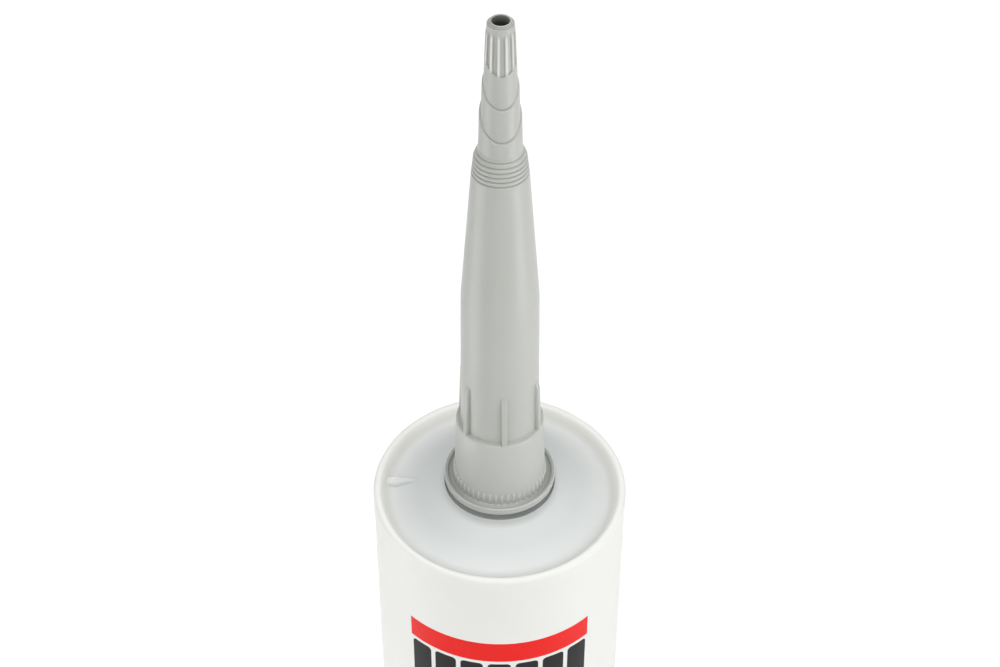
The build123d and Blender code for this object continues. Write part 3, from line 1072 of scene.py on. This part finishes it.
def make_grip_ribs(ring, finish):
    """The ribs that run up beside the tube from the skirt."""
    rib_top_radius = straight_between(grip_rib_height, 0, skirt_foot_radius, skirt_height, skirt_top_radius)
    rib_tube_radius = straight_between(
        grip_rib_height, skirt_height, tube_foot_radius, tube_kink_height, tube_kink_radius
    )
    root_radius = (tube_kink_radius + channel_radius) / 2
    outline = [
        (radius, nozzle_base + height, grip_rib_width)
        for radius, height in (
            (root_radius, skirt_height - skirt_rounding),
            (skirt_top_radius, skirt_height - skirt_rounding),
            (rib_top_radius, grip_rib_height - grip_rib_top_length),
            (rib_tube_radius, grip_rib_height),
            (root_radius, grip_rib_height),
        )
    ]
    mesh = grow(
        "grip_ribs", wedge_mesh("grip_rib", outline, grip_rib_rounding), ring,
        count=grip_rib_count, first_turn=nozzle_front, finish=finish,
    )
    make_piece("grip_ribs", mesh, "nozzle")


def make_knurl(ring, finish):
    """The teeth round the foot of the skirt."""
    half_width = knurl_width / 2
    half_crest = half_width * knurl_crest_share
    tooth = bmesh.new()
    rings = []
    for height, reach in (
        (flange_dish_height, 0.0),
        (knurl_height - knurl_top_slope, 0.0),
        (knurl_height, knurl_projection),
    ):
        foot = straight_between(height, flange_dish_height, skirt_foot_radius, skirt_height, skirt_top_radius)
        root = foot - knurl_projection
        crest = foot + knurl_projection - reach
        half = [(root, half_width), (foot, half_width), (crest, half_crest)]
        around = [(x, -y) for x, y in half] + half[::-1]
        rings.append([tooth.verts.new((x, y, nozzle_base + height)) for x, y in around])
    count = len(rings[0])
    for low, high in zip(rings, rings[1:]):
        for i in range(count):
            j = (i + 1) % count
            tooth.faces.new((low[i], low[j], high[j], high[i]))
    tooth.faces.new(reversed(rings[0]))
    tooth.faces.new(rings[-1])
    bmesh.ops.remove_doubles(tooth, verts=tooth.verts, dist=merge_distance)
    mesh = bpy.data.meshes.new("knurl_tooth")
    tooth.to_mesh(mesh)
    tooth.free()
    teeth = grow(
        "knurl", mesh, ring,
        count=knurl_count, first_turn=nozzle_front + pi / knurl_count, finish=finish,
    )
    make_piece("knurl", teeth, "nozzle")


def make_sealant(turned, finish):
    """The sealant: a slug as long as the plunger's travel and a little more, and the plug in front of it,
    which stays.
    """
    fill_radius = bore_radius - fill_clearance
    fill_end = bore_end_height - fill_clearance
    crown_end = inner_crown_height - fill_clearance
    plug_radius = neck_bore_radius - fill_clearance
    face_rise = (fill_radius - inner_crown_radius) * cone_rise
    split_height = fill_foot + plunger_travel + slug_least_length
    slug_mesh = turned_shell("sealant_slug", [
        (0, fill_foot + face_rise, 0),
        (inner_crown_radius, fill_foot + face_rise, inner_crown_rounding),
        (fill_radius, fill_foot, 0),
        (fill_radius, split_height - slug_gap, 0),
        (inner_crown_radius, split_height + face_rise - slug_gap, inner_crown_rounding),
        (0, split_height + face_rise - slug_gap, 0),
    ], turned, fill_segments, finish)
    plug_mesh = turned_shell("sealant_plug", [
        (0, split_height + face_rise, 0),
        (inner_crown_radius, split_height + face_rise, inner_crown_rounding),
        (fill_radius, split_height, 0),
        (fill_radius, fill_end, bore_corner_rounding / 2),
        (inner_crown_radius, crown_end, inner_crown_rounding),
        (plug_radius, crown_end, 0),
        (plug_radius, fill_top, fill_clearance),
        (0, fill_top, 0),
    ], turned, fill_segments, finish)
    slug_piece = make_piece("sealant_slug", slug_mesh, None, ["sealant"])
    make_piece("sealant_plug", plug_mesh, "cartridge")
    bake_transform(slug_piece)


turned = turned_tree()
ring = ring_tree()
helix = helix_tree()
ivory = barrel_finish()
grey = nozzle_finish()

make_barrel(turned, ivory)
make_fin(ivory)
make_thread(helix, ivory)
make_nozzle(grey)
make_grip_ribs(ring, grey)
make_knurl(ring, grey)
make_sealant(turned, sealant_finish())
plunger = frame["nodes"]["plunger"]
plunger.data.materials.clear()
plunger.data.materials.append(plunger_finish())

floor_mesh = bpy.data.meshes.new("floor")
floor_corners = [(x * floor_half, y * floor_half, 0) for x, y in ((-1, -1), (1, -1), (1, 1), (-1, 1))]
floor_mesh.from_pydata(floor_corners, [], [(0, 1, 2, 3)])
floor_mesh.materials.append(floor_finish())
floor = bpy.data.objects.new("floor", floor_mesh)
bpy.context.scene.collection.objects.link(floor)

# The surroundings are white all round, and brightest overhead and a little to the front
world = bpy.data.worlds.new("studio")
world.use_nodes = True
sky = Wiring(world.node_tree)
direction = sky.add("ShaderNodeTexCoord").outputs["Generated"]
towards = sky.add("ShaderNodeVectorMath", {0: direction, 1: sky_brightest}, operation="DOT_PRODUCT")
glow = sky.math("POWER", sky.math("MAXIMUM", towards.outputs["Value"], 0.0), sky_focus)
strength = sky.plus(sky.product(glow, sky_peak), sky_base)
background = world.node_tree.nodes["Background"]
sky.feed(background.inputs["Color"], (1.0, 1.0, 1.0, 1))
sky.feed(background.inputs["Strength"], strength)
bpy.context.scene.world = world


def add_softbox(name, place, target, size, power):
    """A soft rectangular light that faces a target and isn't seen itself."""
    light = bpy.data.lights.new(name, "AREA")
    light.shape = "RECTANGLE"
    light.size, light.size_y = size
    light.energy = power
    lamp = bpy.data.objects.new(name, light)
    lamp.location = place
    lamp.rotation_mode = "QUATERNION"
    lamp.rotation_quaternion = (Vector(target) - Vector(place)).to_track_quat("-Z", "Y")
    lamp.visible_camera = False
    bpy.context.scene.collection.objects.link(lamp)


add_softbox("right_panel", place=(0.21, -0.1, 0.22), target=(0, 0, 0.26), size=(0.12, 0.26), power=0.17)
add_softbox("left_panel", place=(-0.22, -0.05, 0.13), target=(0, 0, 0.2), size=(0.16, 0.2), power=0.14)

camera = bpy.data.cameras.new("camera")
camera.sensor_width = camera_sensor_width
camera.lens = camera_lens
camera.dof.use_dof = False
camera_object = bpy.data.objects.new("camera", camera)
camera_object.location = camera_place
camera_object.rotation_mode = "ZYX"
camera_object.rotation_euler = (pi / 2 - camera_dip, 0, camera_roll)
bpy.context.scene.collection.objects.link(camera_object)
bpy.context.scene.camera = camera_object
bpy.context.scene.view_settings.view_transform = "Standard"
